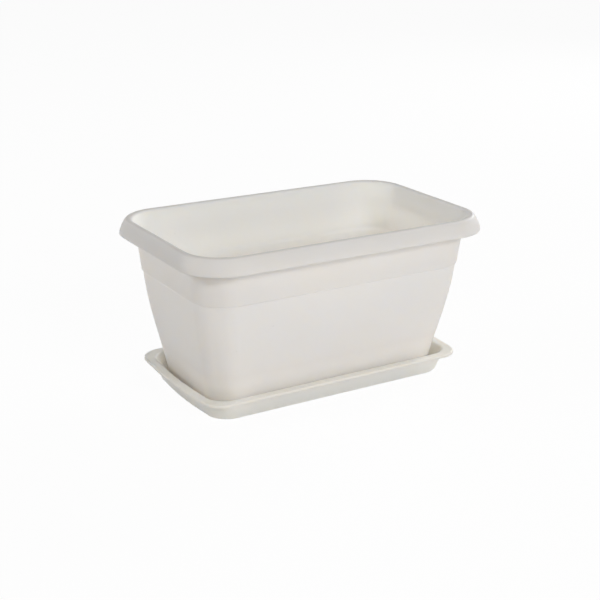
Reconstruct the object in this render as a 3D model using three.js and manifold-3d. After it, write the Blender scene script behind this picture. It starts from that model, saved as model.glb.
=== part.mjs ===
// A short balcony planter standing in its drip saucer, both moulded in ivory polypropylene.
// Millimetres, +Z up, X along the length. The origin is the middle of the saucer's underside.
import * as THREE from "three";
import { mergeVertices } from "three/addons/utils/BufferGeometryUtils.js";
import Module from "manifold-3d";

const wasm = await Module();
wasm.setup();

// Planter box, outside. Insets are measured inwards from the lower edge of the rim skirt.
const RIM_LENGTH = 299;
const RIM_WIDTH = 186;
const RIM_CORNER = 40;
const POT_HEIGHT = 150;
const POT_WALL = 2;
const CREST_INSET = 7.7;
const CROWN_RADIUS = 3.5;
const SKIRT_DROP = 14.5;
const SKIRT_BEND = 7;
const SKIRT_EDGE_ROUND = 1.4;
const SKIRT_TILT = THREE.MathUtils.degToRad(33);
const THROAT_BEND = 8;
const THROAT_TILT = THREE.MathUtils.degToRad(22);
const COLLAR_INSET = 13;
const COLLAR_TOP_BELOW_SKIRT = 2.5;
const COLLAR_HEIGHT = 32;
const COLLAR_TAPER = 3;
const STEP_DEPTH = 1.1;
const STEP_RISE = 0.8;
const BODY_TAPER = 16.5;
const BODY_TOP_LEAN = 0.07;
const BODY_TOP_REACH = 35;
const BODY_BASE_LEAN = 0.12;
const BODY_BASE_REACH = 25;
const SIDE_EXTRA_INSET = 2;
const BASE_CORNER = 24;
const CORNER_EASE_POWER = 1.7;
const POT_EDGE_ROUND = 3;

// Planter box, underneath.
const FOOT_HEIGHT = 4;
const FOOT_RADIUS = 8;
const FOOT_EDGE_DISTANCE = 16;
const FOOT_COLUMNS = 3;
const FOOT_SINK = 1;
const DRAIN_RADIUS = 4.5;
const DRAIN_COLUMNS = 4;
const DRAIN_ROW_OFFSET = 18;
const CUT_MARGIN = 1;

// Saucer. Its floor is the planter's base with a little room round it. Insets are from the flange's edge.
const SAUCER_HEIGHT = 20.5;
const SAUCER_WALL = 1.8;
const SAUCER_FLOOR = 2;
const SAUCER_ROOM = 2.5;
const SAUCER_END_ROOM = 1.3;
const SAUCER_END_BOW = 2.5;
const SAUCER_FLARE = 5.3;
const SAUCER_CORNER = 19;
const SAUCER_EDGE_ROUND = 2.5;
const FLANGE_REACH = 6.6;
const LIP_DROP = 2.8;
const LIP_ROUND = 1.4;

// Fineness of the meshes.
const CORNER_STEPS = 9;
const BEND_STEPS = 3;
const BODY_STEPS = 8;
const BOW_STEPS = 6;
const ROUND_STEPS = 20;

// Levels and insets that follow from the sizes above.
const skirtLevel = POT_HEIGHT - SKIRT_DROP;
const collarTop = skirtLevel - COLLAR_TOP_BELOW_SKIRT;
const stepLevel = skirtLevel - COLLAR_HEIGHT;
const stepInset = COLLAR_INSET + COLLAR_TAPER;
const bodyTopInset = stepInset + STEP_DEPTH;
const baseInset = bodyTopInset + BODY_TAPER;
const baseLength = RIM_LENGTH - 2 * baseInset;
const baseWidth = RIM_WIDTH - 2 * (baseInset + SIDE_EXTRA_INSET);
const potFloor = FOOT_HEIGHT + POT_WALL;

const saucerBaseInset = FLANGE_REACH + SAUCER_FLARE;
const saucerLength = baseLength + 2 * (SAUCER_END_ROOM + SAUCER_WALL + saucerBaseInset);
const saucerWidth = baseWidth + 2 * (SAUCER_ROOM + SAUCER_WALL + saucerBaseInset);

const ivory = new THREE.MeshStandardMaterial({ color: 0xece9e2, roughness: 0.5, metalness: 0 });
const ivorySaucer = new THREE.MeshStandardMaterial({ color: 0xe9e6dd, roughness: 0.52, metalness: 0 });

// Points along one end of an outline that swells out in its middle, without the end's own corners.
function bowedEnd(sideX, sideY, halfLength, halfStraight, bow) {
  const points = [];
  for (let step = 1; step < BOW_STEPS; step++) {
    const along = step / BOW_STEPS;
    const x = sideX * (halfLength + bow * Math.sin(Math.PI * along));
    points.push(new THREE.Vector2(x, sideY * halfStraight * (1 - 2 * along)));
  }
  return points;
}

// Points of a rounded rectangle about the Z axis, anticlockwise seen from above. Its ends may swell out a little.
function roundedOutline({ length, width, corner, endBow = 0 }) {
  const points = [];
  const quarters = [[1, 1], [-1, 1], [-1, -1], [1, -1]];
  quarters.forEach(([sideX, sideY], quarter) => {
    const centreX = sideX * (length / 2 - corner);
    const centreY = sideY * (width / 2 - corner);
    const start = (quarter * Math.PI) / 2;
    const arc = new THREE.EllipseCurve(centreX, centreY, corner, corner, start, start + Math.PI / 2);
    points.push(...arc.getPoints(CORNER_STEPS));
    const endFollows = sideX !== sideY;
    if (endFollows && endBow > 0) {
      points.push(...bowedEnd(sideX, sideY, length / 2, width / 2 - corner, endBow));
    }
  });
  return points;
}

// A closed shell of rounded rectangles. Each profile point holds an inset (x) and a height (y), and the profile
// runs from the underside up the outside, over the rim and down the inside to the floor.
function shell(profile, outlineAt) {
  const rings = profile.map(({ x: inset, y: z }) =>
    roundedOutline(outlineAt(inset)).map((point) => [point.x, point.y, z]),
  );
  const perRing = rings[0].length;
  const underside = rings.length * perRing;
  const floor = underside + 1;
  const last = underside - perRing;
  const positions = [...rings.flat(), [0, 0, profile[0].y], [0, 0, profile[profile.length - 1].y]];
  const triangles = [];
  for (let i = 0; i < perRing; i++) {
    const next = (i + 1) % perRing;
    triangles.push(underside, next, i);
    triangles.push(floor, last + i, last + next);
    for (let here = 0; here < last; here += perRing) {
      const above = here + perRing;
      triangles.push(here + i, here + next, above + next);
      triangles.push(here + i, above + next, above + i);
    }
  }
  const geometry = new THREE.BufferGeometry();
  geometry.setAttribute("position", new THREE.Float32BufferAttribute(positions.flat(), 3));
  geometry.setIndex(triangles);
  return geometry;
}

// Points along a profile: straight stretches keep their ends only, bends and the long body curve get more.
function profilePoints(path) {
  const points = [path.curves[0].getPoint(0)];
  for (const curve of path.curves) {
    const bendSteps = curve.isCubicBezierCurve ? BODY_STEPS : BEND_STEPS;
    const steps = curve.isLineCurve ? 1 : bendSteps;
    points.push(...curve.getPoints(steps).slice(1));
  }
  return points;
}

function solid(geometry) {
  const bare = geometry.clone();
  bare.deleteAttribute("normal");
  bare.deleteAttribute("uv");
  const merged = mergeVertices(bare, 1e-4);
  return new wasm.Manifold(
    new wasm.Mesh({
      numProp: 3,
      vertProperties: merged.attributes.position.array,
      triVerts: new Uint32Array(merged.index.array),
    }),
  );
}

function geometryOf(manifold) {
  const mesh = manifold.getMesh();
  const geometry = new THREE.BufferGeometry();
  geometry.setAttribute("position", new THREE.BufferAttribute(mesh.vertProperties, 3));
  geometry.setIndex(new THREE.BufferAttribute(mesh.triVerts, 1));
  geometry.computeVertexNormals();
  return geometry;
}

// An upright round post between two heights.
function post(x, y, radius, bottom, top) {
  const cylinder = new THREE.CylinderGeometry(radius, radius, top - bottom, ROUND_STEPS);
  cylinder.rotateX(Math.PI / 2);
  cylinder.translate(x, y, (bottom + top) / 2);
  return solid(cylinder);
}

// Places spread evenly from -half to half, with the first and last on the ends.
function spreadToEnds(count, half) {
  return Array.from({ length: count }, (_, i) => -half + (2 * half * i) / (count - 1));
}

// Places spread evenly from -half to half, each in the middle of its share.
function spreadBetween(count, half) {
  return Array.from({ length: count }, (_, i) => -half + (2 * half * (i + 0.5)) / count);
}

// The planter's outline at an inset. Below the crest the long sides draw in a little more than the ends, and the
// corner radius eases from the rim's to the base's.
function potOutline(inset) {
  const ease = Math.pow(Math.max(0, 1 - inset / baseInset), CORNER_EASE_POWER);
  const sideExtra = SIDE_EXTRA_INSET * THREE.MathUtils.smoothstep(inset, CREST_INSET, COLLAR_INSET);
  return {
    length: RIM_LENGTH - 2 * inset,
    width: RIM_WIDTH - 2 * (inset + sideExtra),
    corner: BASE_CORNER + (RIM_CORNER - BASE_CORNER) * ease,
  };
}

// A point on the rim's crown, at an angle from the inward direction.
function onCrown(angle, radius) {
  const centreHeight = POT_HEIGHT - CROWN_RADIUS;
  return new THREE.Vector2(CREST_INSET + radius * Math.cos(angle), centreHeight + radius * Math.sin(angle));
}

// The rim: under the crown and down the inside of the skirt, then up its outside, over the crown and into the box.
function addRim(path) {
  const skirtEnd = Math.PI - SKIRT_TILT;
  const underRadius = CROWN_RADIUS - POT_WALL;
  const crownHeight = POT_HEIGHT - CROWN_RADIUS;
  const skirtTop = onCrown(skirtEnd, CROWN_RADIUS);
  const skirtBendX = skirtTop.x - SKIRT_BEND * Math.sin(SKIRT_TILT);
  const skirtBendY = skirtTop.y - SKIRT_BEND * Math.cos(SKIRT_TILT);
  const throatTop = onCrown(THROAT_TILT, CROWN_RADIUS);
  const throatBendX = throatTop.x + THROAT_BEND * Math.sin(THROAT_TILT);
  const throatBendY = throatTop.y - THROAT_BEND * Math.cos(THROAT_TILT);
  const throatUnder = onCrown(THROAT_TILT, underRadius);

  path.quadraticCurveTo(
    throatBendX - POT_WALL * Math.cos(THROAT_TILT),
    throatBendY - POT_WALL * Math.sin(THROAT_TILT),
    throatUnder.x,
    throatUnder.y,
  );
  path.absarc(CREST_INSET, crownHeight, underRadius, THROAT_TILT, skirtEnd, false);
  path.quadraticCurveTo(
    skirtBendX + POT_WALL * Math.cos(SKIRT_TILT),
    skirtBendY - POT_WALL * Math.sin(SKIRT_TILT),
    POT_WALL,
    skirtLevel,
  );
  path.lineTo(SKIRT_EDGE_ROUND, skirtLevel);
  path.quadraticCurveTo(0, skirtLevel, 0, skirtLevel + SKIRT_EDGE_ROUND);
  path.quadraticCurveTo(skirtBendX, skirtBendY, skirtTop.x, skirtTop.y);
  path.absarc(CREST_INSET, crownHeight, CROWN_RADIUS, skirtEnd, Math.PI / 2, true);
  path.absarc(CREST_INSET, crownHeight, CROWN_RADIUS, Math.PI / 2, THROAT_TILT, true);
  path.quadraticCurveTo(throatBendX, throatBendY, COLLAR_INSET + POT_WALL, collarTop);
}

// The planter's section: floor underside, bowed body, step, collar, rim and the inside down to the floor.
function potProfile() {
  const topBendInset = bodyTopInset + BODY_TOP_LEAN * BODY_TOP_REACH;
  const topBendLevel = stepLevel - BODY_TOP_REACH;
  const baseBendInset = baseInset - BODY_BASE_LEAN * BODY_BASE_REACH;
  const outsideLow = FOOT_HEIGHT + POT_EDGE_ROUND;
  const insideLow = potFloor + POT_EDGE_ROUND;
  const insideBase = baseInset + POT_WALL;

  const path = new THREE.Path();
  path.moveTo(baseInset + POT_EDGE_ROUND, FOOT_HEIGHT);
  path.quadraticCurveTo(baseInset, FOOT_HEIGHT, baseInset, outsideLow);
  path.bezierCurveTo(
    baseBendInset,
    outsideLow + BODY_BASE_REACH,
    topBendInset,
    topBendLevel,
    bodyTopInset,
    stepLevel,
  );
  path.lineTo(stepInset, stepLevel + STEP_RISE);
  path.lineTo(COLLAR_INSET, collarTop);
  addRim(path);
  path.lineTo(stepInset + POT_WALL, stepLevel + STEP_RISE);
  path.lineTo(bodyTopInset + POT_WALL, stepLevel);
  path.bezierCurveTo(
    topBendInset + POT_WALL,
    topBendLevel,
    baseBendInset + POT_WALL,
    insideLow + BODY_BASE_REACH,
    insideBase,
    insideLow,
  );
  path.quadraticCurveTo(insideBase, potFloor, insideBase + POT_EDGE_ROUND, potFloor);
  return profilePoints(path);
}

// The planter box, one moulding: a hollow shell with a down-turned rim, feet and drain holes.
function makePlanterBox() {
  let box = solid(shell(potProfile(), potOutline));
  const footX = baseLength / 2 - FOOT_EDGE_DISTANCE;
  const footY = baseWidth / 2 - FOOT_EDGE_DISTANCE;
  for (const side of [-1, 1]) {
    for (const x of spreadToEnds(FOOT_COLUMNS, footX)) {
      box = box.add(post(x, side * footY, FOOT_RADIUS, 0, FOOT_HEIGHT + FOOT_SINK));
    }
    for (const x of spreadBetween(DRAIN_COLUMNS, footX)) {
      const y = side * DRAIN_ROW_OFFSET;
      box = box.subtract(post(x, y, DRAIN_RADIUS, FOOT_HEIGHT - CUT_MARGIN, potFloor + CUT_MARGIN));
    }
  }
  const mesh = new THREE.Mesh(geometryOf(box), ivory);
  mesh.name = "planter_box";
  return mesh;
}

function saucerOutline(inset) {
  return {
    length: saucerLength - 2 * inset,
    width: saucerWidth - 2 * inset,
    corner: SAUCER_CORNER,
    endBow: SAUCER_END_BOW,
  };
}

// The saucer's section: flat underside, flared wall, flat flange with a turned-down lip, inside wall and floor.
function saucerProfile() {
  const flangeUnderside = SAUCER_HEIGHT - SAUCER_WALL;
  const lipLevel = SAUCER_HEIGHT - LIP_DROP;
  const floorTurn = SAUCER_FLOOR + SAUCER_EDGE_ROUND;
  const insideTop = SAUCER_HEIGHT - LIP_ROUND;
  const outer = (z) => saucerBaseInset - (SAUCER_FLARE * z) / flangeUnderside;
  const inner = (z) => outer(z) + SAUCER_WALL;

  const path = new THREE.Path();
  path.moveTo(saucerBaseInset + SAUCER_EDGE_ROUND, 0);
  path.quadraticCurveTo(saucerBaseInset, 0, outer(SAUCER_EDGE_ROUND), SAUCER_EDGE_ROUND);
  path.lineTo(outer(flangeUnderside), flangeUnderside);
  path.lineTo(SAUCER_WALL, flangeUnderside);
  path.lineTo(SAUCER_WALL, lipLevel);
  path.lineTo(0, lipLevel);
  path.lineTo(0, SAUCER_HEIGHT - LIP_ROUND);
  path.quadraticCurveTo(0, SAUCER_HEIGHT, LIP_ROUND, SAUCER_HEIGHT);
  path.lineTo(inner(SAUCER_HEIGHT) - LIP_ROUND, SAUCER_HEIGHT);
  path.quadraticCurveTo(inner(SAUCER_HEIGHT), SAUCER_HEIGHT, inner(insideTop), insideTop);
  path.lineTo(inner(floorTurn), floorTurn);
  path.quadraticCurveTo(inner(SAUCER_FLOOR), SAUCER_FLOOR, inner(SAUCER_FLOOR) + SAUCER_EDGE_ROUND, SAUCER_FLOOR);
  return profilePoints(path);
}

function makeSaucer() {
  const mesh = new THREE.Mesh(shell(saucerProfile(), saucerOutline), ivorySaucer);
  mesh.name = "saucer";
  return mesh;
}

const planter = new THREE.Group();
planter.position.z = SAUCER_FLOOR;
planter.add(makePlanterBox());

const planterWithSaucer = new THREE.Group();
planterWithSaucer.add(makeSaucer(), planter);

export default planterWithSaucer;
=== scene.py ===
"""A short balcony planter standing in its drip saucer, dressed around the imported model.

The file is laid out as an add-on and run as a script.
Sizes are metres, +Z is up and X runs along the planter.
"""

import math

import bpy
from bpy.props import FloatProperty, FloatVectorProperty, IntProperty, PointerProperty
from mathutils import Matrix, Vector


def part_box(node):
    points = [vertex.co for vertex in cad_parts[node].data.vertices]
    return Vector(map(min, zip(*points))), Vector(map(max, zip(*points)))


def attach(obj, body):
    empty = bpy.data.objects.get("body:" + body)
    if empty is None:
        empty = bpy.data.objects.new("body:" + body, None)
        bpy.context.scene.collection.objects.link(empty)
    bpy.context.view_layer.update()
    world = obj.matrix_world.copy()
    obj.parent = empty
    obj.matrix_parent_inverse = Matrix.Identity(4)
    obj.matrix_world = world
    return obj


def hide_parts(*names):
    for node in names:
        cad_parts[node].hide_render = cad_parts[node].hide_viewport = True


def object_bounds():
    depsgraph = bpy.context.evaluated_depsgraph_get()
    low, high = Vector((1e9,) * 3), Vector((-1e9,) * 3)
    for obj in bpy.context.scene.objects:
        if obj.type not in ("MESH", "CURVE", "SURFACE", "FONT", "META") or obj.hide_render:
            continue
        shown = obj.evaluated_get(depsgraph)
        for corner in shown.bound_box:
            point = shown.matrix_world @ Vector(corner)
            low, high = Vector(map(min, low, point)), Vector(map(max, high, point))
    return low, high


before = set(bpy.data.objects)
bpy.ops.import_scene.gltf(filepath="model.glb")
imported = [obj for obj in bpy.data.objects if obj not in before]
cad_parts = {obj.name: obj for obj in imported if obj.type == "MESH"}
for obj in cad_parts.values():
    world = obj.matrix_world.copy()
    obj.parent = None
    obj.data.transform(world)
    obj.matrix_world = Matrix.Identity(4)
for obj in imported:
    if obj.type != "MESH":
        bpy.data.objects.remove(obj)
CAD_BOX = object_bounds()

bl_info = {
    "name": "Balcony Planter",
    "version": (1, 0, 0),
    "blender": (4, 5, 0),
    "location": "3D View > Sidebar > Planter",
    "description": "Moulded balcony planter with its drip saucer, on a plain studio floor",
    "category": "Object",
}

POT_LOW, POT_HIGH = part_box("planter_box")
SAUCER_LOW, SAUCER_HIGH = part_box("saucer")
MILLIMETRE = 0.001

# How far the saucer's short ends swell out, in millimetres.
SAUCER_BOW = 2.5

# Fineness of the meshes.
CORNER_STEPS = 20
SIDE_STEPS = 14
BEND_STEPS = 8
SMALL_BEND_STEPS = 4
BODY_STEPS = 28
COLLAR_STEPS = 8
FLANGE_STEPS = 4
SAUCER_WALL_STEPS = 6
ROUND_STEPS = 40
FOOT_RINGS = 6
DRAIN_RINGS = 8
MERGE_DISTANCE = 1e-6
CREASE = math.radians(32)

# The rounding at the step's foot as a share of its slope, and that under the lip as a share of the lip's.
STEP_FOOT_SHARE = 0.4
LIP_UNDERSIDE_SHARE = 0.3

# How tightly a section bends where its edge is worn most and where the wear begins, in radians per metre.
SHARP_BEND = 0.6 / MILLIMETRE
SOFT_BEND = 0.1 / MILLIMETRE

# How the plastic varies from place to place, on noise and cells that run from 0 to 1.
CLOUD_BAND = (0.35, 0.7)
CLOUD_CREAM = 0.25
CLOUD_DETAIL = 3
FLECK_EDGE = (0.03, 0.055)
FLECK_STRENGTH = 0.12
CELLS_WITHOUT_FLECK = 0.72
# Painted light: over this band of the low ramp the planter grows paler towards its base, standing in for
# light let into the gap round its foot.
LOW_LIGHT_BAND = (0.2, 0.6)
SHEEN_BAND = (0.3, 0.7)
SHEEN_SPREAD = 0.04
SHEEN_CLOUD_SHARE = 0.3
SHEEN_DETAIL = 4
GRAIN_STRENGTH = 0.6
GRAIN_DETAIL = 2

# How the plastic takes light.
PLASTIC_IOR = 1.49
PLASTIC_SPECULAR = 0.3
SCATTER_BY_COLOUR = (1.0, 0.92, 0.8)


def size(name, description, millimetres):
    """A length that the user can change, with its default in millimetres."""
    return FloatProperty(
        name=name,
        description=description,
        default=millimetres * MILLIMETRE,
        min=0,
        precision=4,
        unit="LENGTH",
    )


def place(name, description, default):
    """A point in the row frame, in metres."""
    return FloatVectorProperty(name=name, description=description, default=default, subtype="TRANSLATION")


def angle(name, description, degrees):
    """An angle that the user can change, with its default in degrees."""
    return FloatProperty(name=name, description=description, default=math.radians(degrees), subtype="ANGLE")


def share(name, description, default):
    """A plain number from 0 to 1."""
    return FloatProperty(name=name, description=description, default=default, min=0, max=1, subtype="FACTOR")


def power(name, description, watts):
    """The power of a lamp."""
    return FloatProperty(name=name, description=description, default=watts, min=0, unit="POWER")


def tone(name, description, default):
    """A linear colour."""
    return FloatVectorProperty(
        name=name,
        description=description,
        default=default,
        min=0,
        max=1,
        subtype="COLOR",
    )


class PlanterSizes(bpy.types.PropertyGroup):
    """Sizes of the planter box. Insets run inwards from the lower edge of the rim skirt."""

    rim_length: size("Rim length", "Length over the rim skirt", (POT_HIGH.x - POT_LOW.x) / MILLIMETRE)
    rim_width: size("Rim width", "Width over the rim skirt", (POT_HIGH.y - POT_LOW.y) / MILLIMETRE)
    height: size("Height", "From the feet to the crest of the rim", (POT_HIGH.z - POT_LOW.z) / MILLIMETRE)
    stands_at: size("Stands at", "Height of the saucer's floor, where the feet rest", POT_LOW.z / MILLIMETRE)
    rim_corner: size("Rim corner", "Corner radius at the lower edge of the rim skirt", 40)
    base_corner: size("Base corner", "Corner radius at the base", 24)
    corner_ease: FloatProperty(
        name="Corner ease", description="Power by which the corners tighten towards the base", default=1.7
    )
    wall: size("Wall", "Thickness of the moulded wall", 2)
    crest_inset: size("Crest inset", "Where the rim is highest", 7.7)
    crown_radius: size("Crown radius", "Rounding over the crest", 3.5)
    skirt_drop: size("Skirt drop", "From the crest down to the skirt's lower edge", 14.5)
    skirt_bend: size("Skirt bend", "How far the skirt runs before it turns down", 7)
    skirt_edge_round: size("Skirt edge", "Rounding of the skirt's lower edge", 1.4)
    skirt_tilt: angle("Skirt tilt", "Slope of the skirt below the crown", 33)
    throat_bend: size("Throat bend", "How far the inside runs before it meets the collar", 8)
    throat_tilt: angle("Throat tilt", "Slope of the inside below the crown", 22)
    collar_inset: size("Collar inset", "Where the collar meets the skirt's inside", 13)
    collar_below_skirt: size("Collar start", "How far below the skirt's edge the collar runs straight", 2.5)
    collar_height: size("Collar height", "From the skirt's edge down to the step", 32)
    collar_taper: size("Collar taper", "How far the collar draws in on its way down", 3)
    step_depth: size("Step depth", "How far the body steps in under the collar", 1.1)
    step_rise: size("Step rise", "Height of the sloping step", 0.8)
    step_round: size("Step rounding", "Rounding of the step's two edges", 0.45)
    inside_step_reach: size("Inside step reach", "How far the soft inside step reaches up and down", 3)
    body_taper: size("Body taper", "How far the body draws in down to the base", 16.5)
    body_top_lean: share("Body top lean", "Slope of the body under the step", 0.07)
    body_top_reach: size("Body top reach", "How far that slope is felt", 35)
    body_base_lean: share("Body base lean", "Slope of the body at the base", 0.12)
    body_base_reach: size("Body base reach", "How far that slope is felt", 25)
    side_draw: size("Side draw", "How much more the long sides draw in than the ends", 2)
    edge_round: size("Edge rounding", "Rounding where the walls meet the floor", 3)
    foot_height: size("Foot height", "Gap under the planter's floor", 4)
    foot_radius: size("Foot radius", "Radius of each foot", 8)
    foot_chamfer: size("Foot chamfer", "Bevel round the tread of each foot", 0.8)
    foot_edge_distance: size("Foot margin", "From the base's edge to a foot's middle", 16)
    foot_columns: IntProperty(name="Foot columns", description="Feet along each long side", default=3, min=2)
    drain_radius: size("Drain radius", "Radius of each drain hole", 4.5)
    drain_chamfer: size("Drain chamfer", "Bevel round each drain hole", 0.5)
    drain_columns: IntProperty(name="Drain columns", description="Drain holes in each row", default=4, min=2)
    drain_row_offset: size("Drain rows", "From the middle line to each row of drain holes", 18)


class SaucerSizes(bpy.types.PropertyGroup):
    """Sizes of the saucer. Insets run inwards from the edge of its flange."""

    length: size(
        "Length",
        "Length over the flange, without the bow",
        (SAUCER_HIGH.x - SAUCER_LOW.x) / MILLIMETRE - 2 * SAUCER_BOW,
    )
    width: size("Width", "Width over the flange", (SAUCER_HIGH.y - SAUCER_LOW.y) / MILLIMETRE)
    height: size(
        "Height",
        "From the underside to the top of the flange",
        (SAUCER_HIGH.z - SAUCER_LOW.z) / MILLIMETRE,
    )
    corner: size("Corner", "Corner radius", 19)
    wall: size("Wall", "Thickness of the wall and flange", 1.8)
    floor: size("Floor", "Thickness of the floor", 2)
    flare: size("Flare", "How far the wall leans out on its way up", 5.3)
    edge_round: size("Edge rounding", "Rounding where the wall meets the floor", 2.5)
    flange_reach: size("Flange reach", "How far the flange stands out from the wall", 6.6)
    lip_drop: size("Lip drop", "Depth of the flange's turned-down lip", 2.8)
    lip_round: size("Lip rounding", "Rounding of the flange's edges", 1.4)
    end_bow: size("End bow", "How far the short ends swell out in their middle", SAUCER_BOW)


class PlasticFinish(bpy.types.PropertyGroup):
    """The moulded ivory plastic that both pieces share."""

    ivory: tone("Ivory", "Main colour", (0.857, 0.835, 0.815))
    cream: tone("Cream", "Warmer colour low down and in patches", (0.88, 0.817, 0.74))
    fleck: tone("Fleck", "Colour of the sparse flecks of dust in the plastic", (0.42, 0.38, 0.32))
    roughness: share("Roughness", "Satin roughness of the walls", 0.5)
    polish: share("Polish", "How much smoother the handled edges are", 0.12)
    grain: size("Grain", "Size of the moulded grain", 0.7)
    grain_depth: size("Grain depth", "Depth of the moulded grain", 0.02)
    cloud: size("Cloud", "Size of the faint patches of colour", 60)
    depth: size("Depth", "How far light spreads inside the plastic", 5)
    # Painted shade: how much greyer the skirt, crest, collar and saucer lip are, standing in for the shade
    # that falls on them.
    rim_painted_shade: share("Rim grey", "How much greyer the handled rim is", 0.1)
    cream_reach: share("Cream reach", "How far up the planter the cream reaches", 0.3)
    low_cream: share("Low cream", "How creamy the lowest part of the planter is", 0.6)
    saucer_cream: share("Saucer cream", "How creamy the saucer is", 0.95)
    # Painted light: the inside's cream stands in for the warm glow of light through the thin walls.
    inside_painted_warmth: share("Inside cream", "How creamy the inside is", 0.6)
    # Painted light: how much paler the inside is, standing in for light through the thin walls.
    inside_painted_light: share("Inside pale", "How much paler the clean inside is", 0.13)
    # Painted light: how much paler the planter grows towards its base, and the saucer all over.
    low_painted_light: share("Low pale", "How much paler the lowest part is", 0.13)
    fleck_spacing: size("Fleck spacing", "Spacing of the cells in which a fleck may lie", 17)


class StageSettings(bpy.types.PropertyGroup):
    """Camera, floor and studio light."""

    eye: place("Eye", "Where the camera stands", (-0.53676, -0.87786, 0.42873))
    azimuth: angle("Azimuth", "Direction that the camera looks from, about the upright axis", -31.4)
    elevation: angle("Elevation", "How far the camera looks down", 19.16)
    roll: angle("Roll", "Turn of the camera about its own axis", 0.555)
    lens: FloatProperty(name="Lens", description="Focal length", default=71.54, unit="CAMERA")
    floor_reach: size("Floor reach", "From the middle of the floor to its edges", 8000)
    floor_tone: tone("Floor", "Colour of the floor", (0.96, 0.955, 0.945))
    floor_white: share("Floor white", "How far the floor is pure white to the camera", 0.96)
    ambient: tone("Ambient", "Even light from all round", (0.02, 0.02, 0.02))
    front_power: power("Front power", "Power of the soft box in front", 33)
    left_power: power("Left power", "Power of the soft box to the left", 20.5)
    right_power: power("Right power", "Power of the soft box to the right", 24)
    top_power: power("Top power", "Power of the soft box overhead", 8)
    soft_box_side: size("Soft box side", "Side of each square soft box", 900)
    soft_box_distance: size("Soft box distance", "From the middle of the planter to each soft box", 2500)


class Section:
    """Points of a moulded section, inset by height, from the underside up the outside and down the inside."""

    def __init__(self, inset, height):
        self.points = [Vector((inset, height))]
        self.lightness = []

    def mark(self, lightness):
        """Gives the points since the last mark a painted shading, below 0 for painted shade and above 0 for
        painted light.
        """
        self.lightness += [lightness] * (len(self.points) - len(self.lightness))

    def line(self, inset, height, steps=1):
        start = self.points[-1].copy()
        end = Vector((inset, height))
        self.points += [start.lerp(end, step / steps) for step in range(1, steps + 1)]

    def bend(self, corner, end, steps=BEND_STEPS):
        start, corner, end = self.points[-1].copy(), Vector(corner), Vector(end)
        for step in range(1, steps + 1):
            t = step / steps
            self.points.append(start.lerp(corner, t).lerp(corner.lerp(end, t), t))

    def curve(self, first, second, end, steps=BODY_STEPS):
        start, first, second, end = self.points[-1].copy(), Vector(first), Vector(second), Vector(end)
        for step in range(1, steps + 1):
            t = step / steps
            low, middle, high = start.lerp(first, t), first.lerp(second, t), second.lerp(end, t)
            self.points.append(low.lerp(middle, t).lerp(middle.lerp(high, t), t))

    def arc(self, centre, radius, start_angle, end_angle, steps=BEND_STEPS):
        for step in range(1, steps + 1):
            turn = start_angle + (end_angle - start_angle) * step / steps
            self.points.append(Vector(centre) + radius * Vector((math.cos(turn), math.sin(turn))))

    def round(self, corner, towards, reach, steps=SMALL_BEND_STEPS):
        """Rounds a corner of the section, from reach before it to reach after it."""
        corner = Vector(corner)
        before = corner + reach * (self.points[-1] - corner).normalized()
        after = corner + reach * (Vector(towards) - corner).normalized()
        self.line(*before)
        self.bend(corner, after, steps)


# Painted shading on the plastic: painted shade greys the skirt and, most of all, the upward-facing crest,
# standing in for the shade that the low soft boxes leave on them, and the collar, as if in the skirt's
# shadow; painted light makes the inside paler, standing in for light that comes through the thin walls. The
# crest runs between two angles round the crown.
CREST_SHADE, RIM_SHADE, COLLAR_SHADE, PLAIN, INSIDE_LIGHT = -2.7, -1.0, -0.5, 0.0, 1.0
CREST_FROM, CREST_TO = math.radians(124), math.radians(61)


def planter_section(s):
    """The planter's section: underside, bowed body, step, collar, rim and the inside down to the floor."""
    skirt_level = s.height - s.skirt_drop
    collar_top = skirt_level - s.collar_below_skirt
    step_level = skirt_level - s.collar_height
    step_inset = s.collar_inset + s.collar_taper
    body_top = step_inset + s.step_depth
    base = body_top + s.body_taper
    floor = s.foot_height + s.wall
    top_bend = body_top + s.body_top_lean * s.body_top_reach
    base_bend = base - s.body_base_lean * s.body_base_reach
    outside_low = s.foot_height + s.edge_round
    inside_low = floor + s.edge_round
    flat = 2 * s.edge_round

    section = Section(base + flat, s.foot_height)
    section.line(base + s.edge_round, s.foot_height)
    section.bend((base, s.foot_height), (base, outside_low))
    section.curve(
        (base_bend, outside_low + s.body_base_reach),
        (top_bend, step_level - s.body_top_reach),
        (body_top + s.body_top_lean * s.step_round, step_level - s.step_round),
    )
    step_foot = Vector((body_top, step_level))
    step_top = Vector((step_inset, step_level + s.step_rise))
    section.bend(step_foot, step_foot.lerp(step_top, STEP_FOOT_SHARE), SMALL_BEND_STEPS)
    section.mark(PLAIN)
    section.round(step_top, (s.collar_inset, collar_top), s.step_round)
    section.line(s.collar_inset, collar_top, COLLAR_STEPS)
    add_rim(section, s, skirt_level, collar_top)
    inside_step_top = (step_inset + s.wall, step_level + s.step_rise)
    inside_step = (body_top + s.wall, step_level)
    reach = s.inside_step_reach
    inside_step_base = (inside_step[0] + s.body_top_lean * reach, step_level - reach)
    section.line(step_inset + s.wall, step_level + reach)
    section.curve(inside_step_top, inside_step, inside_step_base, BEND_STEPS)
    section.curve(
        (top_bend + s.wall, step_level - s.body_top_reach),
        (base_bend + s.wall, inside_low + s.body_base_reach),
        (base + s.wall, inside_low),
    )
    section.bend((base + s.wall, floor), (base + s.wall + s.edge_round, floor))
    section.line(base + s.wall + flat, floor)
    # Painted light: the inside, from the crown down to the floor.
    section.mark(INSIDE_LIGHT)
    for point in section.points:
        point.y += s.stands_at
    return section, base


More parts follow.
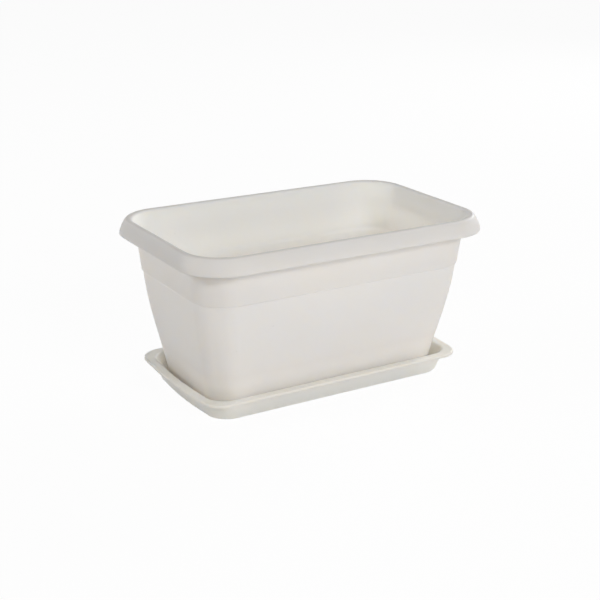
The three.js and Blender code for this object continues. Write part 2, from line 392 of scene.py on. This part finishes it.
def add_rim(section, s, skirt_level, collar_top):
    """Under the crown, down the skirt's inside, up its outside, over the crown and into the box."""
    crown = Vector((s.crest_inset, s.height - s.crown_radius))
    under_radius = s.crown_radius - s.wall
    skirt_end = math.pi - s.skirt_tilt
    skirt_way = Vector((-math.sin(s.skirt_tilt), -math.cos(s.skirt_tilt)))
    skirt_out = Vector((-math.cos(s.skirt_tilt), math.sin(s.skirt_tilt)))
    throat_way = Vector((math.sin(s.throat_tilt), -math.cos(s.throat_tilt)))
    throat_out = Vector((math.cos(s.throat_tilt), math.sin(s.throat_tilt)))
    skirt_top = crown + s.crown_radius * skirt_out
    skirt_corner = skirt_top + s.skirt_bend * skirt_way
    throat_corner = crown + s.crown_radius * throat_out + s.throat_bend * throat_way
    edge = s.skirt_edge_round

    section.bend(throat_corner - s.wall * throat_out, crown + under_radius * throat_out)
    section.arc(crown, under_radius, s.throat_tilt, skirt_end)
    section.bend(skirt_corner - s.wall * skirt_out, (s.wall, skirt_level))
    section.line(edge, skirt_level)
    # Painted shade: the collar and the skirt's underside, as if in the skirt's shadow.
    section.mark(COLLAR_SHADE)
    section.bend((0, skirt_level), (0, skirt_level + edge))
    section.bend(skirt_corner, skirt_top, 2 * BEND_STEPS)
    section.arc(crown, s.crown_radius, skirt_end, CREST_FROM, SMALL_BEND_STEPS)
    # Painted shade: the skirt's outside and the outer side of the crown.
    section.mark(RIM_SHADE)
    section.arc(crown, s.crown_radius, CREST_FROM, CREST_TO)
    # Heaviest painted shade: the upward-facing crest.
    section.mark(CREST_SHADE)
    section.arc(crown, s.crown_radius, CREST_TO, s.throat_tilt, SMALL_BEND_STEPS)
    section.bend(throat_corner, (s.collar_inset + s.wall, collar_top))


def saucer_section(s):
    """The saucer's section: underside, flared wall, flange with its lip, inside wall and floor."""
    flange_underside = s.height - s.wall
    lip_level = s.height - s.lip_drop
    floor_turn = s.floor + s.edge_round
    inside_top = s.height - s.lip_round
    base = s.flange_reach + s.flare
    flat = 2 * s.edge_round
    small = LIP_UNDERSIDE_SHARE * s.lip_round

    def outer(height):
        return base - s.flare * height / flange_underside

    def inner(height):
        return outer(height) + s.wall

    section = Section(base + flat, 0)
    section.line(base + s.edge_round, 0)
    section.bend((base, 0), (outer(s.edge_round), s.edge_round))
    section.round((outer(flange_underside), flange_underside), (s.wall, flange_underside), s.lip_round)
    section.round((s.wall, flange_underside), (s.wall, lip_level), small)
    section.round((s.wall, lip_level), (0, lip_level), small)
    section.mark(PLAIN)
    section.round((0, lip_level), (0, s.height), small)
    section.line(0, s.height - s.lip_round)
    section.bend((0, s.height), (s.lip_round, s.height))
    # Painted shade: the lip's outer face and rounded edge, toning down the highlight that they catch.
    section.mark(RIM_SHADE)
    section.line(inner(s.height) - s.lip_round, s.height, FLANGE_STEPS)
    section.bend((inner(s.height), s.height), (inner(inside_top), inside_top))
    section.line(inner(floor_turn), floor_turn, SAUCER_WALL_STEPS)
    section.bend((inner(s.floor), s.floor), (inner(s.floor) + s.edge_round, s.floor))
    section.line(inner(s.floor) + flat, s.floor)
    section.mark(PLAIN)
    return section


def eased(values, passes=3):
    """Evens out a run of values by taking each with its neighbours."""
    for _ in range(passes):
        padded = [values[0], *values, values[-1]]
        values = [sum(padded[i:i + 3]) / 3 for i in range(len(values))]
    return values


def edge_wear(points):
    """How much each point of a section is a proud edge: 0 where it is flat or hollow, 1 on a tight round."""
    wear = [0.0] * len(points)
    for i in range(1, len(points) - 1):
        before = points[i] - points[i - 1]
        after = points[i + 1] - points[i]
        run = (before.length + after.length) / 2
        bend = before.angle_signed(after, 0) / run
        wear[i] = min(1.0, max(0.0, (bend - SOFT_BEND) / (SHARP_BEND - SOFT_BEND)))
    return wear


class NodeKit:
    """Adds nodes to a tree and joins their sockets."""

    def __init__(self, tree):
        self.tree = tree

    def add(self, kind, inputs=None, **settings):
        node = self.tree.nodes.new(kind)
        for name, value in settings.items():
            setattr(node, name, value)
        for name, value in (inputs or {}).items():
            self.feed(node.inputs[name], value)
        return node

    def feed(self, socket, value):
        if isinstance(value, bpy.types.NodeSocket):
            self.tree.links.new(value, socket)
        else:
            socket.default_value = value

    def math(self, operation, *values):
        node = self.add("ShaderNodeMath", operation=operation)
        for socket, value in zip(node.inputs, values):
            self.feed(socket, value)
        return node.outputs[0]

    def between(self, low, high, factor):
        """Goes from low to high as factor goes from 0 to 1."""
        return self.math("MULTIPLY_ADD", self.math("SUBTRACT", high, low), factor, low)

    def ramp(self, value, from_low, from_high, to_low=0.0, to_high=1.0, kind="LINEAR"):
        names = ("Value", "From Min", "From Max", "To Min", "To Max")
        inputs = dict(zip(names, (value, from_low, from_high, to_low, to_high)))
        return self.add("ShaderNodeMapRange", inputs, interpolation_type=kind).outputs["Result"]


def geometry_tree(name, inputs, output="NodeSocketGeometry"):
    """A new geometry node tree with named inputs."""
    tree = bpy.data.node_groups.new(name, "GeometryNodeTree")
    for label, kind in inputs.items():
        tree.interface.new_socket(label, in_out="INPUT", socket_type=kind)
    tree.interface.new_socket("Result", in_out="OUTPUT", socket_type=output)
    kit = NodeKit(tree)
    return kit, {socket.name: socket for socket in kit.add("NodeGroupInput").outputs if socket.name}


def named_value(kit, name):
    """The value of a point mark on the mesh that is being worked on."""
    return kit.add("GeometryNodeInputNamedAttribute", {"Name": name}, data_type="FLOAT").outputs[0]


def store_mark(kit, mesh, name, value):
    """The mesh with a point mark stored on it."""
    inputs = {"Geometry": mesh, "Name": name, "Value": value}
    return kit.add("GeometryNodeStoreNamedAttribute", inputs, data_type="FLOAT", domain="POINT").outputs[0]


def weld(kit, mesh):
    """Merges points that lie on one another."""
    inputs = {"Geometry": mesh, "Distance": MERGE_DISTANCE}
    return kit.add("GeometryNodeMergeByDistance", inputs).outputs[0]


def close_tree(kit, result):
    kit.add("NodeGroupOutput", {"Result": result})
    return kit.tree


POINT_MARKS = ("edge_wear", "lightness")
OUTLINE_SIZES = (
    "Length",
    "Width",
    "Rim Corner",
    "Base Corner",
    "Base Inset",
    "Corner Ease",
    "Side Draw",
    "Draw From",
    "Draw To",
    "End Bow",
)


def outline_tree():
    """A point of a rounded rectangle, by its inset and its number round the ring."""
    names = ("Inset", "Number", *OUTLINE_SIZES)
    kit, given = geometry_tree("Rounded Outline", dict.fromkeys(names, "NodeSocketFloat"), "NodeSocketVector")
    inset = given["Inset"]
    drawn_in = kit.math("DIVIDE", inset, given["Base Inset"])
    left_over = kit.math("MAXIMUM", 0, kit.math("SUBTRACT", 1, drawn_in))
    ease = kit.math("POWER", left_over, given["Corner Ease"])
    corner = kit.between(given["Base Corner"], given["Rim Corner"], ease)
    draw = kit.ramp(inset, given["Draw From"], given["Draw To"], 0, given["Side Draw"], "SMOOTHSTEP")
    half_length = kit.math("SUBTRACT", kit.math("MULTIPLY", given["Length"], 0.5), inset)
    half_width = kit.math("SUBTRACT", kit.math("MULTIPLY", given["Width"], 0.5), kit.math("ADD", inset, draw))

    per_quarter = CORNER_STEPS + SIDE_STEPS
    quarter = kit.math("FLOOR", kit.math("DIVIDE", given["Number"], per_quarter))
    step = kit.math("SUBTRACT", given["Number"], kit.math("MULTIPLY", quarter, per_quarter))
    along_arc = kit.math("MINIMUM", 1, kit.math("DIVIDE", step, CORNER_STEPS))
    past_arc = kit.math("MAXIMUM", 0, kit.math("SUBTRACT", step, CORNER_STEPS))
    along_side = kit.math("DIVIDE", past_arc, SIDE_STEPS)
    turn = kit.math("MULTIPLY", kit.math("ADD", quarter, along_arc), math.pi / 2)

    coordinates = []
    for wave, half in (("COSINE", half_length), ("SINE", half_width)):
        signs = []
        for ahead in (0.5, 1.5):
            middle = kit.math("MULTIPLY", kit.math("ADD", quarter, ahead), math.pi / 2)
            signs.append(kit.math("SIGN", kit.math(wave, middle)))
        side = kit.between(*signs, along_side)
        centre = kit.math("MULTIPLY", side, kit.math("SUBTRACT", half, corner))
        coordinates.append(kit.math("MULTIPLY_ADD", corner, kit.math(wave, turn), centre))
    arch = kit.math("SINE", kit.math("MULTIPLY", along_side, math.pi))
    swell = kit.math("MULTIPLY", given["End Bow"], arch)
    bowed = kit.math("MULTIPLY_ADD", swell, kit.math("COSINE", turn), coordinates[0])
    point = kit.add("ShaderNodeCombineXYZ", {"X": bowed, "Y": coordinates[1]})
    return close_tree(kit, point.outputs[0])


def shell_tree(outline):
    """Sweeps a section, which is the incoming mesh, round a rounded rectangle into a closed moulded shell."""
    inputs = {"Section": "NodeSocketGeometry", **dict.fromkeys(OUTLINE_SIZES, "NodeSocketFloat")}
    kit, given = geometry_tree("Moulded Shell", inputs)
    ring = 4 * (CORNER_STEPS + SIDE_STEPS)
    index = kit.add("GeometryNodeInputIndex").outputs[0]
    position = kit.add("GeometryNodeInputPosition").outputs[0]
    count = kit.add("GeometryNodeAttributeDomainSize", {"Geometry": given["Section"]}).outputs["Point Count"]

    def of_section(value, data_type, number):
        inputs = {"Geometry": given["Section"], "Value": value, "Index": number}
        return kit.add("GeometryNodeSampleIndex", inputs, data_type=data_type).outputs[0]

    def placed(mesh, section_number, ring_number):
        at = kit.add("ShaderNodeSeparateXYZ", {0: of_section(position, "FLOAT_VECTOR", section_number)})
        sizes = {name: given[name] for name in OUTLINE_SIZES}
        point = kit.add("GeometryNodeGroup", node_tree=outline)
        for name, value in {"Inset": at.outputs["X"], "Number": ring_number, **sizes}.items():
            kit.feed(point.inputs[name], value)
        rise = kit.add("ShaderNodeCombineXYZ", {"Z": at.outputs["Z"]})
        where = kit.add("ShaderNodeVectorMath", {0: point.outputs[0], 1: rise.outputs[0]}, operation="ADD")
        inputs = {"Geometry": mesh, "Position": where.outputs[0]}
        moved = kit.add("GeometryNodeSetPosition", inputs).outputs[0]
        for mark in POINT_MARKS:
            value = of_section(named_value(kit, mark), "FLOAT", section_number)
            moved = store_mark(kit, moved, mark, value)
        return moved

    grid = kit.add("GeometryNodeMeshGrid", {"Vertices X": count, "Vertices Y": ring + 1})
    row = kit.math("FLOOR", kit.math("DIVIDE", index, ring + 1))
    column = kit.math("SUBTRACT", index, kit.math("MULTIPLY", row, ring + 1))
    around = kit.math("MODULO", column, ring)
    wall = kit.add("GeometryNodeFlipFaces", {"Mesh": placed(grid.outputs["Mesh"], row, around)}).outputs[0]

    disc = kit.add("GeometryNodeMeshCircle", {"Vertices": ring}, fill_type="NGON").outputs[0]
    last = kit.math("SUBTRACT", count, 1)
    floor = placed(disc, last, index)
    underside = kit.add("GeometryNodeFlipFaces", {"Mesh": placed(disc, 0, index)}).outputs[0]
    joined = kit.add("GeometryNodeJoinGeometry")
    for part in (underside, wall, floor):
        kit.feed(joined.inputs[0], part)
    return close_tree(kit, weld(kit, joined.outputs[0]))


def finish_mesh(kit, mesh, material):
    """Realizes what is instanced, shades it smooth but for its creases, and gives it its material."""
    mesh = kit.add("GeometryNodeRealizeInstances", {"Geometry": mesh}).outputs[0]
    inputs = {"Geometry": mesh, "Shade Smooth": True}
    mesh = kit.add("GeometryNodeSetShadeSmooth", inputs, domain="FACE").outputs[0]
    bend = kit.add("GeometryNodeInputMeshEdgeAngle").outputs["Unsigned Angle"]
    inputs = {"Geometry": mesh, "Selection": kit.math("GREATER_THAN", bend, CREASE), "Shade Smooth": False}
    mesh = kit.add("GeometryNodeSetShadeSmooth", inputs, domain="EDGE").outputs[0]
    return kit.add("GeometryNodeSetMaterial", {"Geometry": mesh, "Material": material}).outputs[0]


def swept(kit, given, shell):
    """The moulded shell as a node of another tree, fed by that tree's own inputs."""
    node = kit.add("GeometryNodeGroup", node_tree=shell)
    for name in ("Section", *OUTLINE_SIZES):
        kit.feed(node.inputs[name], given[name])
    return node.outputs[0]


def saucer_tree(shell):
    inputs = {"Section": "NodeSocketGeometry", **dict.fromkeys(OUTLINE_SIZES, "NodeSocketFloat")}
    kit, given = geometry_tree("Drip Saucer", {**inputs, "Material": "NodeSocketMaterial"})
    return close_tree(kit, finish_mesh(kit, swept(kit, given, shell), given["Material"]))


FOOT_AND_DRAIN_SIZES = (
    "Foot Spread X",
    "Foot Spread Y",
    "Foot Radius",
    "Foot Chamfer",
    "Foot Length",
    "Foot Middle",
    "Drain Spread X",
    "Drain Spread Y",
    "Drain Radius",
    "Drain Chamfer",
    "Drain Depth",
    "Drain Middle",
)


def round_posts(kit, given, label, depth, rings, widen):
    """Round posts on a grid of two rows. Widen gives what is added to the radius at each height."""
    rows = {
        "Size X": given[f"{label} Spread X"],
        "Size Y": given[f"{label} Spread Y"],
        "Vertices X": given[f"{label} Columns"],
        "Vertices Y": 2,
    }
    spots = kit.add("GeometryNodeMeshGrid", rows)
    radius = given[f"{label} Radius"]
    sides = {"Vertices": ROUND_STEPS, "Side Segments": rings, "Radius": radius, "Depth": depth}
    post = kit.add("GeometryNodeMeshCylinder", sides).outputs["Mesh"]
    at = kit.add("ShaderNodeSeparateXYZ", {0: kit.add("GeometryNodeInputPosition").outputs[0]})
    scale = kit.math("ADD", 1, kit.math("DIVIDE", widen(at.outputs["Z"]), radius))
    wide = {axis: kit.math("MULTIPLY", at.outputs[axis], scale) for axis in "XY"}
    shaped = kit.add("ShaderNodeCombineXYZ", {**wide, "Z": at.outputs["Z"]}).outputs[0]
    post = kit.add("GeometryNodeSetPosition", {"Geometry": post, "Position": shaped}).outputs[0]
    inputs = {"Points": spots.outputs["Mesh"], "Instance": post}
    posts = kit.add("GeometryNodeInstanceOnPoints", inputs).outputs[0]
    lift = kit.add("ShaderNodeCombineXYZ", {"Z": given[f"{label} Middle"]}).outputs[0]
    raised = kit.add("GeometryNodeTransform", {"Geometry": posts, "Translation": lift}).outputs[0]
    return kit.add("GeometryNodeRealizeInstances", {"Geometry": raised}).outputs[0]


def carry_marks(kit, source, mesh):
    """Gives each point of a mesh the marks of the nearest point of the mesh that it was cut from."""
    nearest = kit.add("GeometryNodeSampleNearest", {"Geometry": source}, domain="POINT").outputs[0]
    for mark in POINT_MARKS:
        inputs = {"Geometry": source, "Value": named_value(kit, mark), "Index": nearest}
        sampled = kit.add("GeometryNodeSampleIndex", inputs, data_type="FLOAT").outputs[0]
        mesh = store_mark(kit, mesh, mark, sampled)
    return mesh


def planter_tree(shell):
    """The planter box: the moulded shell with feet added under it and drain holes cut through its floor."""
    inputs = {
        "Section": "NodeSocketGeometry",
        **dict.fromkeys((*OUTLINE_SIZES, *FOOT_AND_DRAIN_SIZES), "NodeSocketFloat"),
        "Foot Columns": "NodeSocketInt",
        "Drain Columns": "NodeSocketInt",
        "Material": "NodeSocketMaterial",
    }
    kit, given = geometry_tree("Planter Box", inputs)

    def chamfered_tread(height):
        """Draws the foot in at its lowest ring only."""
        low = kit.math("MULTIPLY", given["Foot Length"], -0.5)
        chamfer_top = kit.math("ADD", low, given["Foot Chamfer"])
        return kit.ramp(height, low, chamfer_top, kit.math("MULTIPLY", given["Foot Chamfer"], -1), 0)

    def flared_mouths(height):
        """Widens the hole at both faces of the floor."""
        half_floor = kit.math("MULTIPLY", given["Drain Depth"], 0.25)
        flare_start = kit.math("SUBTRACT", half_floor, given["Drain Chamfer"])
        return kit.ramp(kit.math("ABSOLUTE", height), flare_start, half_floor, 0, given["Drain Chamfer"])

    feet = round_posts(kit, given, "Foot", given["Foot Length"], FOOT_RINGS, chamfered_tread)
    drains = round_posts(kit, given, "Drain", given["Drain Depth"], DRAIN_RINGS, flared_mouths)
    body = swept(kit, given, shell)
    union = kit.add("GeometryNodeMeshBoolean", operation="UNION", solver="EXACT")
    kit.feed(union.inputs["Mesh 2"], body)
    kit.feed(union.inputs["Mesh 2"], feet)
    drained = kit.add("GeometryNodeMeshBoolean", operation="DIFFERENCE", solver="EXACT")
    kit.feed(drained.inputs["Mesh 1"], union.outputs["Mesh"])
    kit.feed(drained.inputs["Mesh 2"], drains)
    marked = carry_marks(kit, body, weld(kit, drained.outputs["Mesh"]))
    return close_tree(kit, finish_mesh(kit, marked, given["Material"]))


def section_object(name, section):
    """A mesh line with the section's points and their marks. Inset runs along X and height along Z."""
    mesh = bpy.data.meshes.new(name)
    vertices = [(inset, 0, height) for inset, height in section.points]
    mesh.from_pydata(vertices, [(i, i + 1) for i in range(len(vertices) - 1)], [])
    marks = {"edge_wear": edge_wear(section.points), "lightness": eased(section.lightness)}
    for mark in POINT_MARKS:
        mesh.attributes.new(mark, "FLOAT", "POINT").data.foreach_set("value", marks[mark])
    line = bpy.data.objects.new(name, mesh)
    bpy.context.scene.collection.objects.link(line)
    return line


def build_piece(name, section, tree, sizes):
    """Runs a section through a node tree and keeps the result as a plain mesh."""
    section = section_object(f"{name}_section", section)
    modifier = section.modifiers.new(name, "NODES")
    modifier.node_group = tree
    for item in tree.interface.items_tree:
        if item.in_out == "INPUT" and item.name in sizes:
            modifier[item.identifier] = sizes[item.name]
    bpy.context.view_layer.update()
    graph = bpy.context.evaluated_depsgraph_get()
    mesh = bpy.data.meshes.new_from_object(section.evaluated_get(graph), depsgraph=graph)
    section.modifiers.remove(modifier)
    bpy.data.objects.remove(section)
    if not mesh.polygons:
        raise RuntimeError(f"{name} came out empty")
    mesh.name = name
    for number in reversed(range(len(mesh.materials))):
        if mesh.materials[number] is None:
            mesh.materials.pop(index=number)
    piece = bpy.data.objects.new(name, mesh)
    bpy.context.scene.collection.objects.link(piece)
    return piece


def ivory_plastic(name, finish, cream_low, cream_high, low_cream):
    """Satin moulded polypropylene with faint clouds of cream, sparse flecks, fine grain and smoother edges.

    The cream gathers from the upper of the two heights down to the lower one, where its share is low_cream.
    """
    material = bpy.data.materials.new(name)
    material.use_nodes = True
    kit = NodeKit(material.node_tree)
    shader = material.node_tree.nodes["Principled BSDF"]
    here = kit.add("ShaderNodeTexCoord").outputs["Object"]
    height = kit.add("ShaderNodeSeparateXYZ", {0: here}).outputs["Z"]
    wear = kit.add("ShaderNodeAttribute", attribute_name="edge_wear").outputs["Fac"]
    lightness = kit.add("ShaderNodeAttribute", attribute_name="lightness").outputs["Fac"]

    def noise(spacing, detail):
        inputs = {"Vector": here, "Scale": 1 / spacing, "Detail": detail}
        return kit.add("ShaderNodeTexNoise", inputs).outputs["Fac"]

    def blend(factor, first, second):
        node = kit.add("ShaderNodeMix", {"Factor": factor}, data_type="RGBA")
        kit.feed(node.inputs["A"], first)
        kit.feed(node.inputs["B"], second)
        return node.outputs["Result"]

    # Painted light inside: paler and creamier, standing in for the warm glow of light through the thin walls.
    inside = kit.math("MAXIMUM", lightness, 0)
    low = kit.ramp(height, cream_high, cream_low)
    cloud = kit.ramp(noise(finish.cloud, CLOUD_DETAIL), *CLOUD_BAND, 0, CLOUD_CREAM)
    creamy = kit.math("MULTIPLY_ADD", inside, finish.inside_painted_warmth, cloud)
    creamy = kit.math("MULTIPLY_ADD", low, low_cream, creamy)
    ivory = blend(creamy, (*finish.ivory, 1), (*finish.cream, 1))

    cells = kit.add("ShaderNodeTexVoronoi", {"Vector": here, "Scale": 1 / finish.fleck_spacing})
    chance = kit.add("ShaderNodeSeparateColor", {0: cells.outputs["Color"]}).outputs["Red"]
    dot = kit.ramp(cells.outputs["Distance"], *FLECK_EDGE, FLECK_STRENGTH, 0, "SMOOTHSTEP")
    fleck = kit.math("MULTIPLY", dot, kit.math("GREATER_THAN", chance, CELLS_WITHOUT_FLECK))
    flecked = blend(fleck, ivory, (*finish.fleck, 1))

    # Painted light and shade scale the colour: the base and the inside paler, the rim, crest, collar and
    # saucer lip greyer.
    lowest = kit.ramp(low, *LOW_LIGHT_BAND, 0, finish.low_painted_light)
    paler = kit.math("MAXIMUM", kit.math("MULTIPLY", inside, finish.inside_painted_light), lowest)
    greyer = kit.math("MULTIPLY", kit.math("MINIMUM", lightness, 0), finish.rim_painted_shade)
    level = kit.math("ADD", kit.math("ADD", 1, paler), greyer)
    colour = kit.add("ShaderNodeVectorMath", {0: flecked, "Scale": level}, operation="SCALE").outputs[0]

    smoothest, roughest = finish.roughness - SHEEN_SPREAD, finish.roughness + SHEEN_SPREAD
    patches = noise(SHEEN_CLOUD_SHARE * finish.cloud, SHEEN_DETAIL)
    sheen = kit.ramp(patches, *SHEEN_BAND, smoothest, roughest)
    roughness = kit.math("SUBTRACT", sheen, kit.math("MULTIPLY", wear, finish.polish))
    bumps = noise(finish.grain, GRAIN_DETAIL)
    inputs = {"Strength": GRAIN_STRENGTH, "Distance": finish.grain_depth, "Height": bumps}
    grain = kit.add("ShaderNodeBump", inputs)
    kit.feed(shader.inputs["Base Color"], colour)
    kit.feed(shader.inputs["Roughness"], roughness)
    kit.feed(shader.inputs["Normal"], grain.outputs[0])
    shader.inputs["IOR"].default_value = PLASTIC_IOR
    shader.inputs["Specular IOR Level"].default_value = PLASTIC_SPECULAR
    shader.inputs["Subsurface Weight"].default_value = 1.0
    shader.inputs["Subsurface Radius"].default_value = SCATTER_BY_COLOUR
    shader.inputs["Subsurface Scale"].default_value = finish.depth
    return material


class PLANTER_OT_saucer(bpy.types.Operator):
    """Make the drip saucer"""

    bl_idname = "planter.saucer"
    bl_label = "Make Saucer"

    def execute(self, context):
        sizes = context.scene.planter_saucer
        finish = context.scene.planter_finish
        # The whole saucer lies below the lower height, so it is creamy all over.
        # So the painted light that pales the planter's base pales the whole saucer too.
        cream_top = 2 * sizes.height
        plastic = ivory_plastic("saucer_plastic", finish, sizes.height, cream_top, finish.saucer_cream)
        inputs = {
            "Length": sizes.length,
            "Width": sizes.width,
            "Rim Corner": sizes.corner,
            "Base Corner": sizes.corner,
            "Base Inset": sizes.width,
            "Corner Ease": 1.0,
            "Side Draw": 0.0,
            "Draw From": 0.0,
            "Draw To": sizes.wall,
            "End Bow": sizes.end_bow,
            "Material": plastic,
        }
        tree = saucer_tree(shell_tree(outline_tree()))
        piece = build_piece("drip_saucer", saucer_section(sizes), tree, inputs)
        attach(piece, "saucer")
        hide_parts("saucer")
        return {"FINISHED"}


class PLANTER_OT_box(bpy.types.Operator):
    """Make the planter box with its rim, feet and drain holes"""

    bl_idname = "planter.box"
    bl_label = "Make Planter Box"

    def execute(self, context):
        sizes = context.scene.planter_box
        finish = context.scene.planter_finish
        cream_top = sizes.stands_at + finish.cream_reach * sizes.height
        plastic = ivory_plastic("planter_plastic", finish, sizes.stands_at, cream_top, finish.low_cream)
        section, base = planter_section(sizes)
        foot_x = sizes.rim_length / 2 - base - sizes.foot_edge_distance
        foot_y = sizes.rim_width / 2 - base - sizes.side_draw - sizes.foot_edge_distance
        foot_length = sizes.foot_height + sizes.wall / 2
        inputs = {
            "Length": sizes.rim_length,
            "Width": sizes.rim_width,
            "Rim Corner": sizes.rim_corner,
            "Base Corner": sizes.base_corner,
            "Base Inset": base,
            "Corner Ease": sizes.corner_ease,
            "Side Draw": sizes.side_draw,
            "Draw From": sizes.crest_inset,
            "Draw To": sizes.collar_inset,
            "End Bow": 0.0,
            "Foot Columns": sizes.foot_columns,
            "Foot Spread X": 2 * foot_x,
            "Foot Spread Y": 2 * foot_y,
            "Foot Radius": sizes.foot_radius,
            "Foot Chamfer": sizes.foot_chamfer,
            "Foot Length": foot_length,
            "Foot Middle": sizes.stands_at + foot_length / 2,
            "Drain Columns": sizes.drain_columns,
            "Drain Spread X": 2 * foot_x * (sizes.drain_columns - 1) / sizes.drain_columns,
            "Drain Spread Y": 2 * sizes.drain_row_offset,
            "Drain Radius": sizes.drain_radius,
            "Drain Chamfer": sizes.drain_chamfer,
            "Drain Depth": 2 * sizes.wall,
            "Drain Middle": sizes.stands_at + sizes.foot_height + sizes.wall / 2,
            "Material": plastic,
        }
        tree = planter_tree(shell_tree(outline_tree()))
        piece = build_piece("planter_pot", section, tree, inputs)
        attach(piece, "planter")
        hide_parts("planter_box")
        return {"FINISHED"}


def seen_directly(kit):
    """1 for rays from the camera and for those that a gloss or glass sends on, else 0."""
    path = kit.add("ShaderNodeLightPath").outputs
    direct = kit.math("MAXIMUM", path["Is Camera Ray"], path["Is Glossy Ray"])
    return kit.math("MAXIMUM", direct, path["Is Transmission Ray"])


def make_floor(settings):
    """A plain pale floor that looks white and keeps a faint shadow."""
    reach = settings.floor_reach
    mesh = bpy.data.meshes.new("studio_floor")
    corners = [(-reach, -reach, 0), (reach, -reach, 0), (reach, reach, 0), (-reach, reach, 0)]
    mesh.from_pydata(corners, [], [(0, 1, 2, 3)])
    floor = bpy.data.objects.new("studio_floor", mesh)
    bpy.context.scene.collection.objects.link(floor)
    material = bpy.data.materials.new("studio_floor")
    material.use_nodes = True
    kit = NodeKit(material.node_tree)
    material.node_tree.nodes.clear()
    matt = kit.add("ShaderNodeBsdfDiffuse", {"Color": (*settings.floor_tone, 1)})
    white = kit.add("ShaderNodeEmission", {"Color": (1, 1, 1, 1), "Strength": 1.0})
    whiteness = kit.math("MULTIPLY", seen_directly(kit), settings.floor_white)
    mixed = kit.add("ShaderNodeMixShader", {0: whiteness, 1: matt.outputs[0], 2: white.outputs[0]})
    kit.add("ShaderNodeOutputMaterial", {"Surface": mixed.outputs[0]})
    mesh.materials.append(material)


def make_world(settings):
    """Even soft light all round, seen as white."""
    world = bpy.data.worlds.new("studio_world")
    world.use_nodes = True
    world.node_tree.nodes.clear()
    kit = NodeKit(world.node_tree)
    soft = kit.add("ShaderNodeBackground", {"Color": (*settings.ambient, 1)})
    white = kit.add("ShaderNodeBackground", {"Color": (1, 1, 1, 1)})
    mixed = kit.add("ShaderNodeMixShader", {0: seen_directly(kit), 1: soft.outputs[0], 2: white.outputs[0]})
    kit.add("ShaderNodeOutputWorld", {"Surface": mixed.outputs[0]})
    bpy.context.scene.world = world


def direction(azimuth, elevation):
    """The unit vector towards an elevation and an azimuth, which is 0 in front and grows to the right."""
    flat = math.cos(elevation)
    return Vector((math.sin(azimuth) * flat, -math.cos(azimuth) * flat, math.sin(elevation)))


# Where each soft box stands, as azimuth and elevation in degrees.
SOFT_BOXES = {
    "front": (4, 25),
    "left": (-112, 25),
    "right": (112, 25),
    "top": (0, 85),
}


def make_soft_boxes(settings):
    """Square soft boxes that face the middle of the planter."""
    middle = (CAD_BOX[0] + CAD_BOX[1]) / 2
    for name, bearing in SOFT_BOXES.items():
        towards = direction(*map(math.radians, bearing))
        light = bpy.data.lights.new(f"{name}_soft_box", "AREA")
        light.size = settings.soft_box_side
        light.energy = getattr(settings, f"{name}_power")
        lamp = bpy.data.objects.new(light.name, light)
        lamp.location = middle + settings.soft_box_distance * towards
        lamp.rotation_euler = towards.to_track_quat("Z", "Y").to_euler()
        bpy.context.scene.collection.objects.link(lamp)


def make_camera(settings):
    """The camera at the viewing angle, with its slight roll."""
    back = direction(settings.azimuth, settings.elevation)
    right = Vector((math.cos(settings.azimuth), math.sin(settings.azimuth), 0))
    level = Matrix((right, back.cross(right), back)).transposed()
    turned = level @ Matrix.Rotation(settings.roll, 3, "Z")
    data = bpy.data.cameras.new("camera")
    data.lens = settings.lens
    camera = bpy.data.objects.new("camera", data)
    camera.matrix_world = Matrix.Translation(settings.eye) @ turned.to_4x4()
    bpy.context.scene.collection.objects.link(camera)
    bpy.context.scene.camera = camera


class PLANTER_OT_stage(bpy.types.Operator):
    """Make the floor, the studio light and the camera"""

    bl_idname = "planter.stage"
    bl_label = "Make Stage"

    def execute(self, context):
        settings = context.scene.planter_stage
        context.scene.view_settings.view_transform = "Standard"
        make_floor(settings)
        make_world(settings)
        make_soft_boxes(settings)
        make_camera(settings)
        return {"FINISHED"}


class PLANTER_PT_panel(bpy.types.Panel):
    """Sizes, finish and stage, with a button for each thing that is made"""

    bl_idname = "PLANTER_PT_panel"
    bl_label = "Balcony Planter"
    bl_space_type = "VIEW_3D"
    bl_region_type = "UI"
    bl_category = "Planter"

    def draw(self, context):
        for title, group, operator in SECTIONS:
            box = self.layout.box()
            box.label(text=title)
            settings = getattr(context.scene, group)
            for name in settings.bl_rna.properties.keys():
                if name not in ("rna_type", "name"):
                    box.prop(settings, name)
            if operator:
                box.operator(operator)


SECTIONS = (
    ("Saucer", "planter_saucer", "planter.saucer"),
    ("Planter box", "planter_box", "planter.box"),
    ("Plastic", "planter_finish", None),
    ("Stage", "planter_stage", "planter.stage"),
)
GROUPS = {
    "planter_box": PlanterSizes,
    "planter_saucer": SaucerSizes,
    "planter_finish": PlasticFinish,
    "planter_stage": StageSettings,
}
CLASSES = (*GROUPS.values(), PLANTER_OT_saucer, PLANTER_OT_box, PLANTER_OT_stage, PLANTER_PT_panel)


def register():
    for cls in CLASSES:
        bpy.utils.register_class(cls)
    for name, group in GROUPS.items():
        setattr(bpy.types.Scene, name, PointerProperty(type=group))


def unregister():
    for name in GROUPS:
        delattr(bpy.types.Scene, name)
    for cls in reversed(CLASSES):
        bpy.utils.unregister_class(cls)


def main():
    register()
    bpy.ops.planter.stage()
    bpy.ops.planter.saucer()
    bpy.ops.planter.box()


if __name__ == "__main__":
    main()
